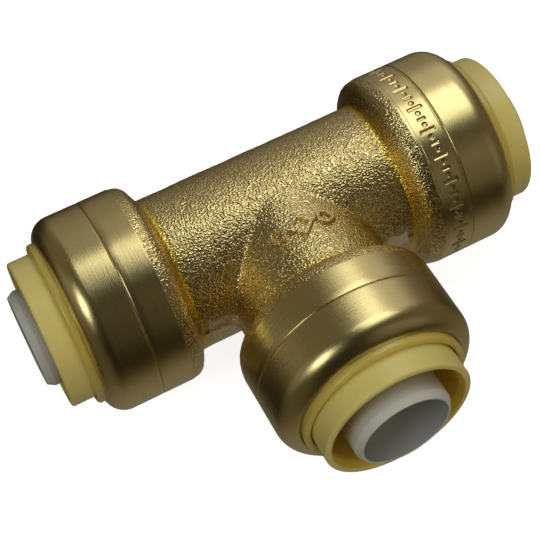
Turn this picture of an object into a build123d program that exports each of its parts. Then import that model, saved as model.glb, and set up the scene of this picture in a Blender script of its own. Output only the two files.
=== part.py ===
"""Push to connect tee for 22.2 mm tube.

A forged brass body carries three equal ports. Each port holds, from the inside out, a tube liner,
an O-ring, its protector, a toothed grab ring and a retainer ring, all shut in by a pressed end cap,
and a release collar that slides inwards to open the grab ring's teeth.

The tee lies on its three bells: the run is along X, the branch points to -Y and +Z is up.
The origin is under the middle of the bounding box, on the surface that the bells touch.
Every turned piece is drawn as a half-section in its port's own plane, whose first coordinate is the
distance from the port's axis and whose second is the distance outward of the seam between body and cap.
"""

import os
from dataclasses import dataclass

from build123d import *

# Tube and ports, mm
TUBE_RADIUS = 11.1
RUN_SEAM = 28.95
BRANCH_SEAM = 28.4

# Forged body: outside
BELL_RADIUS = 17.35
NECK_RADIUS = 13.6
BAND_LENGTH = 5.3
SHOULDER_RADIUS = 16.95
SHOULDER_START = 7.5
SHOULDER_ROUNDING = 2.2
NECK_START = 9.0
NECK_FILLET = 0.8
SADDLE_FILLET = 1.6
SEAM_EDGE = 0.25
SPIGOT_RADIUS = 15.9
SPIGOT_LENGTH = 3.5

# Forged body: bores
WATERWAY_RADIUS = 9.5
SOCKET_RADIUS = TUBE_RADIUS + 0.15
SOCKET_BOTTOM = -15.0
SEAT_RADIUS = 13.6
SEAT_BOTTOM = -5.0
MOUTH_RADIUS = 14.6
MOUTH_BOTTOM = 1.3

# Forging flash left round the parting plane, and the raised marks beside the crossing
FLASH_PROUD = 0.25
FLASH_THICKNESS = 1.2
CROTCH_RADIUS = 2.8
MARK_PROUD = 0.3
MARK_X = 0.4
MARK_Y = -11.2
DIAMOND_RADIUS = 1.6
PIP_PITCH = 2.3
PIP_RADII = (0.8, 0.6)

# End cap
CAP_STRAIGHT = 5.25
CAP_LENGTH = 9.05
LIP_RADIUS = 14.4
LIP_BOTTOM = 6.55
CAP_CONE_BOTTOM = LIP_BOTTOM - (SPIGOT_RADIUS - LIP_RADIUS)

# Tube liner
LINER_RADIUS = 8.5
LINER_BORE = 7.45
LINER_TIP = 16.5
LINER_BEVEL_START = 15.3
LINER_TIP_RADIUS = 7.9
LINER_FLANGE = 1.2

# O-ring and its protector
O_RING_SECTION = 1.5
O_RING_GAP = 0.05
PROTECTOR_RADIUS = 13.5
PROTECTOR_BORE = 11.5
PROTECTOR_BOTTOM = -1.8
PROTECTOR_WEB_TOP = -1.3
PROTECTOR_RIM_INSIDE = 12.7
PROTECTOR_WEB_INSIDE = 12.5

# Grab ring
GRAB_THICKNESS = 0.5
GRAB_RIM_TOP = MOUTH_BOTTOM
GRAB_RIM_INSIDE = 12.6
TOOTH_RADIUS = 10.95
TOOTH_DROP = 1.15
TOOTH_COUNT = 16
TOOTH_GAP = 0.9

# Retainer ring
RETAINER_MOUTH_GAP = 0.1
RETAINER_BORE = 12.6
RETAINER_FLANGE = 15.4
RETAINER_FLANGE_TOP = 5.4
BEAD_OUTSIDE = 14.3
BEAD_INSIDE = 13.1
BEAD_TIP = 10.3
BEAD_ROUNDING = 0.5
POCKET_RADIUS = 13.75
POCKET_BOTTOM = 3.1
POCKET_TOP = 6.4

# Release collar
COLLAR_RADIUS = 12.92
COLLAR_BORE = 11.4
COLLAR_END = 14.35
COLLAR_EDGE = 0.5
COLLAR_MOUTH_RADIUS = 11.9
COLLAR_MOUTH_DEPTH = 1.5
COLLAR_FLANGE = 13.6
COLLAR_FLANGE_BOTTOM = 5.3
COLLAR_FLANGE_TOP = 6.3
NOSE_RADIUS = 12.4
NOSE_TIP = 1.7
NOSE_TIP_RADIUS = 11.8
NOSE_TAPER = 1.7

# Where the axes cross
BRANCH_REACH = BRANCH_SEAM + LINER_TIP
CROSSING = Vector(0, (BRANCH_REACH - BELL_RADIUS) / 2, BELL_RADIUS)


@dataclass
class Port:
    """One socket of the tee: its name, the way it faces, a direction across it and its seam's distance."""

    name: str
    outward: Vector
    sideways: Vector
    seam: float

    @property
    def centre(self):
        """Point on the port's axis in the plane of the seam."""
        return CROSSING + self.outward * self.seam

    @property
    def section(self):
        """Plane through the axis: X is the distance from the axis, Y the distance outward of the seam."""
        return Plane(origin=self.centre, x_dir=self.sideways, z_dir=self.sideways.cross(self.outward))

    @property
    def face(self):
        """Plane of the seam, looking outward."""
        return Plane(origin=self.centre, z_dir=self.outward)

    @property
    def axis(self):
        """The port's axis, pointing outward."""
        return Axis(self.centre, self.outward)


PORTS = [
    Port("left", Vector(-1, 0, 0), Vector(0, 1, 0), RUN_SEAM),
    Port("right", Vector(1, 0, 0), Vector(0, 1, 0), RUN_SEAM),
    Port("branch", Vector(0, -1, 0), Vector(1, 0, 0), BRANCH_SEAM),
]


def half_section(port, *corners):
    """Closed half-section in a port's own plane: each corner is (radius, offset, rounding)."""
    with BuildSketch(port.section) as section:
        with BuildLine():
            FilletPolyline(
                [(radius, offset) for radius, offset, _ in corners],
                radius=[rounding for _, _, rounding in corners],
                close=True,
            )
        make_face()
    return section.sketch


def cast_marks():
    """A diamond between round pips that stand a little proud of the branch neck, beside the crossing."""
    with BuildPart() as marks:
        with BuildSketch(Plane(CROSSING)):
            with Locations((MARK_X, MARK_Y)):
                RegularPolygon(DIAMOND_RADIUS, 4)
            for side in (-1, 1):
                for step, radius in enumerate(PIP_RADII, start=1):
                    with Locations((MARK_X + side * step * PIP_PITCH, MARK_Y)):
                        Circle(radius)
        extrude(amount=NECK_RADIUS + 2 * MARK_PROUD)
        with BuildSketch(Plane(CROSSING, x_dir=(1, 0, 0), z_dir=(0, -1, 0))):
            Circle(NECK_RADIUS + MARK_PROUD)
        extrude(amount=BRANCH_SEAM, mode=Mode.INTERSECT)
    return marks.part


def make_body():
    """Forged tee: crossing necks blended together, shouldered bells, flash, marks, bores and spigots."""
    marks = cast_marks()
    with BuildPart() as body:
        for port in PORTS:
            outside = half_section(
                port,
                (0, -port.seam, 0),
                (NECK_RADIUS, -port.seam, 0),
                (NECK_RADIUS, -NECK_START, NECK_FILLET),
                (SHOULDER_RADIUS, -SHOULDER_START, SHOULDER_ROUNDING),
                (BELL_RADIUS, -BAND_LENGTH, 0),
                (BELL_RADIUS, 0, SEAM_EDGE),
                (SPIGOT_RADIUS, 0, 0),
                (SPIGOT_RADIUS, SPIGOT_LENGTH, 0),
                (0, SPIGOT_LENGTH, 0),
            )
            revolve(outside, axis=port.axis)
        crossing_curves = [e for e in body.edges() if e.geom_type not in (GeomType.LINE, GeomType.CIRCLE)]
        fillet(crossing_curves, radius=SADDLE_FILLET)
        with BuildSketch(Plane(CROSSING)) as flash:
            half_width = NECK_RADIUS + FLASH_PROUD
            run_end = RUN_SEAM - NECK_START
            branch_end = BRANCH_SEAM - NECK_START
            with BuildLine():
                Polyline(
                    (-run_end, half_width),
                    (run_end, half_width),
                    (run_end, -half_width),
                    (half_width, -half_width),
                    (half_width, -branch_end),
                    (-half_width, -branch_end),
                    (-half_width, -half_width),
                    (-run_end, -half_width),
                    close=True,
                )
            make_face()
            crotches = flash.vertices().group_by(Axis.Y)[1].sort_by(Axis.X)[1:3]
            fillet(crotches, radius=CROTCH_RADIUS)
        extrude(amount=FLASH_THICKNESS / 2, both=True)
        add(marks)
        for port in PORTS:
            bores = half_section(
                port,
                (0, -port.seam, 0),
                (WATERWAY_RADIUS, -port.seam, 0),
                (WATERWAY_RADIUS, SOCKET_BOTTOM, 0),
                (SOCKET_RADIUS, SOCKET_BOTTOM, 0),
                (SOCKET_RADIUS, SEAT_BOTTOM, 0),
                (SEAT_RADIUS, SEAT_BOTTOM, 0),
                (SEAT_RADIUS, MOUTH_BOTTOM, 0),
                (MOUTH_RADIUS, MOUTH_BOTTOM, 0),
                (MOUTH_RADIUS, SPIGOT_LENGTH, 0),
                (0, SPIGOT_LENGTH, 0),
            )
            revolve(bores, axis=port.axis, mode=Mode.SUBTRACT)
    return body


def make_end_cap(port):
    """Brass cap pressed over the spigot: a straight skirt, a rounded shoulder and a retaining lip."""
    with BuildPart() as end_cap:
        with BuildSketch(port.section):
            with BuildLine():
                Polyline(
                    (LIP_RADIUS, CAP_LENGTH),
                    (LIP_RADIUS, LIP_BOTTOM),
                    (SPIGOT_RADIUS, CAP_CONE_BOTTOM),
                    (SPIGOT_RADIUS, 0),
                    (BELL_RADIUS - SEAM_EDGE, 0),
                    (BELL_RADIUS, SEAM_EDGE),
                    (BELL_RADIUS, CAP_STRAIGHT),
                )
                TangentArc((BELL_RADIUS, CAP_STRAIGHT), (LIP_RADIUS, CAP_LENGTH), tangent=(0, 1))
            make_face()
        revolve(axis=port.axis)
    return end_cap


def make_tube_liner(port):
    """Plastic sleeve that stiffens a soft tube, with a flange at the bottom of the socket."""
    with BuildPart() as tube_liner:
        profile = half_section(
            port,
            (LINER_BORE, SOCKET_BOTTOM, 0),
            (SOCKET_RADIUS, SOCKET_BOTTOM, 0),
            (SOCKET_RADIUS, SOCKET_BOTTOM + LINER_FLANGE, 0),
            (LINER_RADIUS, SOCKET_BOTTOM + LINER_FLANGE, 0),
            (LINER_RADIUS, LINER_BEVEL_START, 0),
            (LINER_TIP_RADIUS, LINER_TIP, 0),
            (LINER_BORE, LINER_TIP, 0),
        )
        revolve(profile, axis=port.axis)
    return tube_liner


def make_o_ring(port):
    """Rubber ring that lies on the seat's bottom, just clear of its wall."""
    with BuildPart() as o_ring:
        with BuildSketch(port.section):
            reach = O_RING_SECTION + O_RING_GAP
            with Locations((SEAT_RADIUS - reach, SEAT_BOTTOM + reach)):
                Circle(O_RING_SECTION)
        revolve(axis=port.axis)
    return o_ring


def make_o_ring_protector(port):
    """Plastic ring between O-ring and grab ring, dished so that the teeth have room to bend."""
    with BuildPart() as protector:
        rim_top = GRAB_RIM_TOP - GRAB_THICKNESS
        profile = half_section(
            port,
            (PROTECTOR_BORE, PROTECTOR_BOTTOM, 0),
            (PROTECTOR_RADIUS, PROTECTOR_BOTTOM, 0),
            (PROTECTOR_RADIUS, rim_top, 0),
            (PROTECTOR_RIM_INSIDE, rim_top, 0),
            (PROTECTOR_WEB_INSIDE, PROTECTOR_WEB_TOP, 0),
            (PROTECTOR_BORE, PROTECTOR_WEB_TOP, 0),
        )
        revolve(profile, axis=port.axis)
    return protector


def make_grab_ring(port):
    """Spring steel ring whose teeth lean inwards, so that a tube goes in but doesn't come out."""
    with BuildPart() as grab_ring:
        rim_bottom = GRAB_RIM_TOP - GRAB_THICKNESS
        profile = half_section(
            port,
            (PROTECTOR_RADIUS, rim_bottom, 0),
            (PROTECTOR_RADIUS, GRAB_RIM_TOP, 0),
            (GRAB_RIM_INSIDE, GRAB_RIM_TOP, 0),
            (TOOTH_RADIUS, GRAB_RIM_TOP - TOOTH_DROP, 0),
            (TOOTH_RADIUS, rim_bottom - TOOTH_DROP, 0),
            (GRAB_RIM_INSIDE, rim_bottom, 0),
        )
        revolve(profile, axis=port.axis)
        with BuildSketch(port.face.offset(rim_bottom - TOOTH_DROP)):
            with PolarLocations((TOOTH_RADIUS + GRAB_RIM_INSIDE) / 2, TOOTH_COUNT):
                SlotOverall(GRAB_RIM_INSIDE - TOOTH_RADIUS + TOOTH_GAP, TOOTH_GAP)
        extrude(amount=TOOTH_DROP + GRAB_THICKNESS, mode=Mode.SUBTRACT)
    return grab_ring


def make_retainer_ring(port):
    """Plastic ring that holds the grab ring down and guides the collar, with a bead outside the cap."""
    with BuildPart() as retainer_ring:
        skirt_radius = MOUTH_RADIUS - RETAINER_MOUTH_GAP
        profile = half_section(
            port,
            (RETAINER_BORE, GRAB_RIM_TOP, 0),
            (skirt_radius, GRAB_RIM_TOP, 0),
            (skirt_radius, SPIGOT_LENGTH, 0),
            (RETAINER_FLANGE, SPIGOT_LENGTH, 0),
            (RETAINER_FLANGE, RETAINER_FLANGE_TOP, 0),
            (BEAD_OUTSIDE, RETAINER_FLANGE_TOP + RETAINER_FLANGE - BEAD_OUTSIDE, 0),
            (BEAD_OUTSIDE, BEAD_TIP, BEAD_ROUNDING),
            (BEAD_INSIDE, BEAD_TIP, BEAD_ROUNDING),
            (BEAD_INSIDE, POCKET_TOP, 0),
            (POCKET_RADIUS, POCKET_TOP, 0),
            (POCKET_RADIUS, POCKET_BOTTOM, 0),
            (RETAINER_BORE, POCKET_BOTTOM, 0),
        )
        revolve(profile, axis=port.axis)
    return retainer_ring


def make_release_collar(port):
    """Plastic collar that slides in the retainer ring: its nose opens the teeth when it is pushed."""
    with BuildPart() as release_collar:
        profile = half_section(
            port,
            (COLLAR_BORE, NOSE_TIP, 0),
            (NOSE_TIP_RADIUS, NOSE_TIP, 0),
            (NOSE_RADIUS, NOSE_TIP + NOSE_TAPER, 0),
            (NOSE_RADIUS, COLLAR_FLANGE_BOTTOM, 0),
            (COLLAR_FLANGE, COLLAR_FLANGE_BOTTOM, 0),
            (COLLAR_FLANGE, COLLAR_FLANGE_TOP, 0),
            (COLLAR_RADIUS, COLLAR_FLANGE_TOP, 0),
            (COLLAR_RADIUS, COLLAR_END, COLLAR_EDGE),
            (COLLAR_MOUTH_RADIUS, COLLAR_END, 0),
            (COLLAR_BORE, COLLAR_END - COLLAR_MOUTH_DEPTH, 0),
        )
        revolve(profile, axis=port.axis)
    return release_collar


PORT_PIECES = {
    "end_cap": make_end_cap,
    "tube_liner": make_tube_liner,
    "o_ring": make_o_ring,
    "o_ring_protector": make_o_ring_protector,
    "grab_ring": make_grab_ring,
    "retainer_ring": make_retainer_ring,
    "release_collar": make_release_collar,
}

os.makedirs("parts", exist_ok=True)

body = make_body()
body.part.label = "body"
export_step(body.part, "parts/body.step")

for port in PORTS:
    for piece_name, make_piece in PORT_PIECES.items():
        piece = make_piece(port)
        piece.part.label = f"{port.name}_{piece_name}"
        export_step(piece.part, f"parts/{piece.part.label}.step")
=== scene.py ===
"""Finished look of a push to connect tee, built round its packed frame.

Every surface is a grid of points worked out with numpy. A round piece is described by its profile, in
metres: the distance from its port's axis, and the offset outward of the seam between body and cap.
"""

import math

import bpy
import numpy as np
from bpy.props import FloatProperty, FloatVectorProperty, PointerProperty
from mathutils import Matrix, Vector


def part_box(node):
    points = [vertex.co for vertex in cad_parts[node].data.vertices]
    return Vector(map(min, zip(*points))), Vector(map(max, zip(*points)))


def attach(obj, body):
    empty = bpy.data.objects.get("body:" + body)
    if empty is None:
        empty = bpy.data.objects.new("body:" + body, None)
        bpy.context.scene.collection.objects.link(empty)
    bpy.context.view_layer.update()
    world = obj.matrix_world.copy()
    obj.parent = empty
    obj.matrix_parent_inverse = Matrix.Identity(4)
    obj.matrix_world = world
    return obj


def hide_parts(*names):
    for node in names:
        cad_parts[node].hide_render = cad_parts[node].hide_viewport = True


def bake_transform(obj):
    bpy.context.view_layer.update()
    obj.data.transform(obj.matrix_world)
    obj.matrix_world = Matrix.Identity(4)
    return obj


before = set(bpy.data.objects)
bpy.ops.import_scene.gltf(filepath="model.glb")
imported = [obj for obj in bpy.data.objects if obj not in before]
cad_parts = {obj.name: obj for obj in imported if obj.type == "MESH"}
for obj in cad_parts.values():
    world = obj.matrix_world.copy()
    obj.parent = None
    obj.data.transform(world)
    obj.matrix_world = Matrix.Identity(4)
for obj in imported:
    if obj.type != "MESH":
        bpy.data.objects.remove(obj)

bl_info = {
    "name": "Push to connect tee",
    "version": (1, 0, 0),
    "blender": (4, 5, 0),
    "location": "3D View > Sidebar > Tee",
    "description": "Builds the forged body, caps, collars and liners of a push to connect tee",
    "category": "Add Mesh",
}

MM = 0.001
EDGE = 0.12 * MM
UP = np.array([0.0, 0.0, 1.0])


# ---- Where the frame puts things ----


class Port:
    """One socket: which way it faces, a direction across it, and its seam, read from its end cap's box."""

    def __init__(self, name, outward, sideways):
        self.name = name
        self.outward = np.array(outward, float)
        self.sideways = np.array(sideways, float)
        low, high = (np.array(corner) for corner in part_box(f"{name}_end_cap"))
        along = np.abs(self.outward)
        inner = low if self.outward.sum() > 0.0 else high
        self.seam_centre = inner * along + (low + high) / 2 * (1 - along)
        self.bell_radius = (high[2] - low[2]) / 2
        self.cap_length = (high - low) @ along
        self.mirrored = np.cross(self.sideways, UP) @ self.outward < 0.0
        self.reach = 0.0

    def end_of(self, piece):
        """Offset of the outer end of this port's piece of that name."""
        low, high = (np.array(corner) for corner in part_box(f"{self.name}_{piece}"))
        return max((corner - self.seam_centre) @ self.outward for corner in (low, high))

    def place(self, radius, offset, angle):
        """Points: seam centre + offset * outward + radius * (sin(angle) * sideways + cos(angle) * up)."""
        radius, offset, angle = np.broadcast_arrays(radius, offset, angle)
        across = np.sin(angle)[..., None] * self.sideways + np.cos(angle)[..., None] * UP
        return self.seam_centre + offset[..., None] * self.outward + radius[..., None] * across


LEFT = Port("left", (-1, 0, 0), (0, 1, 0))
RIGHT = Port("right", (1, 0, 0), (0, 1, 0))
BRANCH = Port("branch", (0, -1, 0), (1, 0, 0))
PORTS = (LEFT, RIGHT, BRANCH)
CROSSING = np.array([BRANCH.seam_centre[0], LEFT.seam_centre[1], LEFT.seam_centre[2]])
for port in PORTS:
    port.reach = (port.seam_centre - CROSSING) @ port.outward
BELL_RADIUS = LEFT.bell_radius


# ---- Sizes and colours that a user would change ----


def length(description, millimetres):
    """A length property, whose default is given in millimetres."""
    return FloatProperty(description=description, default=millimetres * MM, unit="LENGTH", precision=5)


def colour(description, *rgb):
    """A colour property."""
    return FloatVectorProperty(description=description, default=rgb, min=0.0, max=1.0, subtype="COLOR")


def number(description, default, low, high):
    """A plain number property."""
    return FloatProperty(description=description, default=default, min=low, max=high)


class BodySizes(bpy.types.PropertyGroup):
    """Sizes of the forged body."""

    neck: length("Outside radius of the forged necks", 13.6)
    neck_end: length("Offset at which a neck meets its bell", -9.0)
    neck_fillet: length("Radius of the corner between neck and bell", 0.8)
    shoulder: length("Radius of the bell's forged shoulder", 16.95)
    shoulder_start: length("Offset at which the shoulder is full", -7.5)
    shoulder_rounding: length("Radius of the shoulder's corner", 2.2)
    band: length("Length of the turned band between shoulder and seam", 5.3)
    seam_edge: length("Rounding of the bell's edge at the seam", 0.25)
    spigot: length("Radius of the spigot that the cap is pressed over", 15.9)
    spigot_length: length("How far the spigot reaches past the seam", 3.5)
    mouth: length("Radius of the recess for the retainer ring", 14.6)
    mouth_bottom: length("Offset of the recess's bottom", 1.3)
    seat: length("Radius of the O-ring's seat", 13.6)
    seat_bottom: length("Offset of the seat's bottom", -5.0)
    socket: length("Radius of the tube's socket", 11.25)
    socket_bottom: length("Offset of the socket's bottom", -15.0)
    waterway: length("Radius of the bores that meet in the middle", 9.5)
    saddle: length("Width of the blend where the necks cross", 1.0)
    draft: length("How much thinner the branch's neck is where it meets the run", 0.3)
    web: length("Extra blend in the crotches, at the parting plane", 1.6)
    flash: length("How far the trimmed flash stands proud", 0.22)
    flash_width: length("Width of the trimmed flash", 1.3)
    swell: length("Depth of the slow waves in the forged skin", 0.016)
    pitting: length("Depth of the coarse pits in the forged skin", 0.014)
    mark: length("How far the cast marks stand proud", 0.75)
    mark_size: length("Half the width of the cast diamond", 1.9)
    mark_pitch: length("Distance from one cast mark to the next", 4.3)
    mark_stroke: length("Width of the cast marks' strokes", 0.95)
    roll_depth: length("Depth of the rolled marks", 0.15)
    roll_height: length("Height of the tallest rolled marks", 2.6)
    sleeve: length("Depth of the recess under the rolled sleeve", 0.2)


class PortSizes(bpy.types.PropertyGroup):
    """Sizes of the pieces in a port."""

    cap_straight: length("Length of the cap's straight skirt", 5.25)
    lip: length("Inside radius of the cap's lip", 14.4)
    lip_bottom: length("Offset of the lip's inner edge", 6.55)
    bead: length("Outside radius of the retainer ring's bead", 14.3)
    bead_inside: length("Inside radius of the retainer ring's bead", 13.1)
    retainer_bore: length("Bore of the retainer ring behind the collar", 12.6)
    retainer_flange: length("Radius of the flange under the cap", 15.4)
    collar: length("Outside radius of the release collar", 12.92)
    collar_bore: length("Bore of the release collar", 11.4)
    collar_mouth: length("Radius of the collar's bore at its outer end", 11.9)
    collar_flange: length("Radius of the flange that keeps the collar in", 13.6)
    nose: length("Outside radius of the collar's nose", 12.4)
    nose_tip: length("Outside radius of the nose at its tip", 11.8)
    liner: length("Outside radius of the tube liner", 8.5)
    liner_bore: length("Bore of the tube liner", 7.45)
    liner_tip: length("Outside radius of the liner at its tip", 7.8)
    tooth: length("Distance from the axis to the tips of the teeth", 10.95)
    grab_rim: length("Inside radius of the grab ring's flat rim", 12.6)
    grab_thickness: length("Thickness of the grab ring's sheet", 0.25)
    tooth_drop: length("How far the teeth lean inwards from the rim", 1.15)
    tooth_gap: length("Width of the gap between two teeth", 0.9)


class Finishes(bpy.types.PropertyGroup):
    """Colours of the materials."""

    brass: colour("Clean turned brass", 0.87, 0.69, 0.31)
    brass_shade: colour("Darker streaks in turned brass", 0.72, 0.55, 0.22)
    skin: colour("Blasted crests of the forged skin", 1.0, 0.83, 0.43)
    skin_pit: colour("Hollows of the forged skin", 0.72, 0.53, 0.20)
    # Painted shade: the golden colour of the grooves and crotches stands in for shade and warm light
    # reflected there.
    skin_painted_shade: colour("Grooves and crotches of the forged skin", 0.88, 0.60, 0.06)
    ground: colour("Where the flash was ground off", 0.92, 0.86, 0.68)
    collar: colour("Pale yellow plastic of the release collars", 0.98, 0.80, 0.27)
    # Painted shade: the deeper amber inside the collars stands in for shade and amber light bounced in the
    # plastic.
    collar_bore_tint: colour("Amber of the release collars inside", 0.90, 0.64, 0.10)
    retainer: colour("Yellow translucent plastic of the retainer rings", 0.80, 0.62, 0.13)
    liner: colour("Light grey plastic of the tube liners", 0.82, 0.80, 0.73)
    # Painted shade: the darker grey inside the liners' bores.
    liner_bore_shade: colour("Grey of the tube liners inside", 0.42, 0.42, 0.42)
    # Painted shade with yellow light bounced from the collars, on the liners below their tips.
    liner_shade_below_tip: colour("Stained shade of the tube liners below their tips", 0.46, 0.39, 0.22)
    protector: colour("Dark plastic of the O-ring protectors", 0.05, 0.05, 0.055)
    rubber: colour("Black rubber of the O-rings", 0.012, 0.012, 0.013)
    steel: colour("Spring steel of the grab rings", 0.62, 0.60, 0.57)


class StageSettings(bpy.types.PropertyGroup):
    """The camera, the lights and the floor."""

    lens: number("Focal length in millimetres, on a 36 mm sensor", 95.576, 10.0, 300.0)
    azimuth: number("The camera's angle round the part, in degrees", -20.26, -180.0, 180.0)
    elevation: number("The camera's angle above the floor, in degrees", 55.35, -90.0, 90.0)
    roll: number("The camera's turn about its line of sight, in degrees", 8.335, -180.0, 180.0)
    distance: length("From the camera to the point that it looks at", 243.54)
    floor: colour("The pale floor", 0.93, 0.93, 0.925)


SETTINGS = {
    "tee_body": BodySizes,
    "tee_port": PortSizes,
    "tee_finish": Finishes,
    "tee_stage": StageSettings,
}


# ---- Surfaces ----


def turn(columns):
    """Angles evenly spread round an axis, as a column."""
    return np.linspace(0.0, 2.0 * np.pi, columns, endpoint=False)[:, None]


def smooth(value, low, high):
    """Smooth step: 0 at low, 1 at high, 3t^2 - 2t^3 between."""
    t = np.clip((value - low) / (high - low), 0.0, 1.0)
    return t * t * (3.0 - 2.0 * t)


def ripple(points, wavelength, seed, waves=40):
    """Random height of about unit size: a sum of sine waves of random direction, length and phase."""
    random = np.random.default_rng(seed)
    heading = random.normal(size=(waves, 3))
    heading /= np.linalg.norm(heading, axis=1)[:, None]
    number = 2.0 * np.pi / (wavelength * random.uniform(0.6, 1.6, waves))
    phase = random.uniform(0.0, 2.0 * np.pi, waves)
    return np.sin(points @ (heading * number[:, None]).T + phase).sum(-1) * math.sqrt(2.0 / waves)


def outline(corners, step, closed=True, arc_step=0.3):
    """Points along a profile of corners: straight runs joined by tangent arcs. A corner is (radius, offset,
    rounding), and one without a rounding is a small edge, rounded by EDGE.

    An arc's centre lies on its corner's bisector, rounding / sin(half the corner's angle) from it. Runs
    are divided so that no two points are further apart than step; arcs turn arc_step radians a point.
    """
    places = np.array([corner[:2] for corner in corners])
    stretches = []
    for index, given in enumerate(corners):
        corner = places[index]
        rounding = given[2] if len(given) == 3 else EDGE
        before = places[index - 1] - corner
        after = places[(index + 1) % len(places)] - corner
        open_end = not closed and index in (0, len(places) - 1)
        if open_end or rounding == 0.0:
            stretches.append(corner[None])
            continue
        before /= np.linalg.norm(before)
        after /= np.linalg.norm(after)
        half = math.acos(np.clip(before @ after, -1.0, 1.0)) / 2.0
        bisector = (before + after) / np.linalg.norm(before + after)
        centre = corner + bisector * rounding / math.sin(half)
        start = corner + before * rounding / math.tan(half) - centre
        end = corner + after * rounding / math.tan(half) - centre
        first = math.atan2(start[1], start[0])
        swing = (math.atan2(end[1], end[0]) - first + math.pi) % (2.0 * math.pi) - math.pi
        angles = first + swing * np.linspace(0.0, 1.0, max(2, math.ceil(abs(swing) / arc_step)) + 1)
        stretches.append(centre + rounding * np.stack([np.cos(angles), np.sin(angles)], 1))
    line = np.concatenate(stretches)
    if closed:
        line = np.concatenate([line, line[:1]])
    run = np.diff(line, axis=0)
    parts = np.maximum(1, np.ceil(np.linalg.norm(run, axis=1) / step)).astype(int)
    owner = np.repeat(np.arange(len(run)), parts)
    along = (np.arange(parts.sum()) - np.repeat(np.cumsum(parts) - parts, parts)) / parts[owner]
    divided = line[owner] + along[:, None] * run[owner]
    return divided if closed else np.concatenate([divided, line[-1:]])


def grid_quads(columns, rows, closed, mirrored=False):
    """Quads of a grid that closes round its columns, and along its rows if closed."""
    index = np.arange(columns * rows).reshape(columns, rows)
    beside = np.roll(index, -1, 0)
    if closed:
        quads = [index, beside, np.roll(beside, -1, 1), np.roll(index, -1, 1)]
    else:
        quads = [index[:, :-1], beside[:, :-1], beside[:, 1:], index[:, 1:]]
    return np.stack(quads[::-1] if mirrored else quads, -1).reshape(-1, 4)


def facing_out(points, quads):
    """The quads, turned over if the closed surface's signed volume is negative."""
    a, b, c, d = (points[quads[:, corner]] - points.mean(0) for corner in range(4))
    volume = np.einsum("ij,ij->", a, np.cross(b, c)) + np.einsum("ij,ij->", a, np.cross(c, d))
    return quads if volume > 0.0 else quads[:, ::-1]


def normals(points, quads):
    """Unit normal of each point: the sum of the cross products of its quads' diagonals."""
    a, b, c, d = (points[quads[:, corner]] for corner in range(4))
    cross = np.cross(c - a, d - b)
    total = np.zeros_like(points)
    for corner in range(4):
        np.add.at(total, quads[:, corner], cross)
    return total / np.maximum(np.linalg.norm(total, axis=1), 1e-30)[:, None]


def lathe(port, profile, columns, height=None):
    """Points and fields of a ring: its closed profile of (radius, offset) turned round the port's axis.

    height, if given, is a function of (angle, radius, offset) that is added to the radius. The field
    "turning" is (sin(angle), cos(angle), offset in millimetres), which patterns along the turning follow.
    """
    angle = turn(columns)
    radius, offset = profile.T[:, None, :]
    swollen = radius + (height(angle, radius, offset) if height else 0.0)
    points = port.place(swollen, offset, angle).reshape(-1, 3)
    return points, grid_quads(columns, len(profile), True), {"turning": turning_field(angle, offset)}


def turning_field(angle, offset):
    """(sin(angle), cos(angle), offset in millimetres) for each point of a grid."""
    angle, offset = np.broadcast_arrays(angle, offset)
    return np.stack([np.sin(angle), np.cos(angle), offset / MM], -1).reshape(-1, 3)


def add_object(name, data):
    """A new object in the scene."""
    made = bpy.data.objects.new(name, data)
    bpy.context.scene.collection.objects.link(made)
    return made


def make_piece(name, points, quads, fields, finish, closed=True):
    """A smooth mesh object at the origin, in place of any of that name, with its fields as attributes."""
    old = bpy.data.objects.get(name)
    if old is not None:
        bpy.data.objects.remove(old)
    mesh = bpy.data.meshes.new(name)
    mesh.from_pydata(points, [], facing_out(points, quads) if closed else quads)
    for field, values in fields.items():
        vector = values.ndim == 2
        attribute = mesh.attributes.new(field, "FLOAT_VECTOR" if vector else "FLOAT", "POINT")
        attribute.data.foreach_set("vector" if vector else "value", values.astype(np.float32).ravel())
    mesh.shade_smooth()
    mesh.materials.append(finish)
    return add_object(name, mesh)


# ---- Node trees ----


class Wire:
    """An output socket. Arithmetic on it adds Math nodes to its tree."""

    def __init__(self, tree, socket):
        self.tree = tree
        self.socket = socket

    def arithmetic(operation, swapped=False):
        """A method that adds a Math node of that operation on this wire and another value."""

        def method(self, other):
            first, second = (other, self) if swapped else (self, other)
            return self.tree.node("ShaderNodeMath", {"operation": operation}, {0: first, 1: second})

        return method

    __add__ = __radd__ = arithmetic("ADD")
    __mul__ = __rmul__ = arithmetic("MULTIPLY")
    __rsub__ = arithmetic("SUBTRACT", swapped=True)


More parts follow.
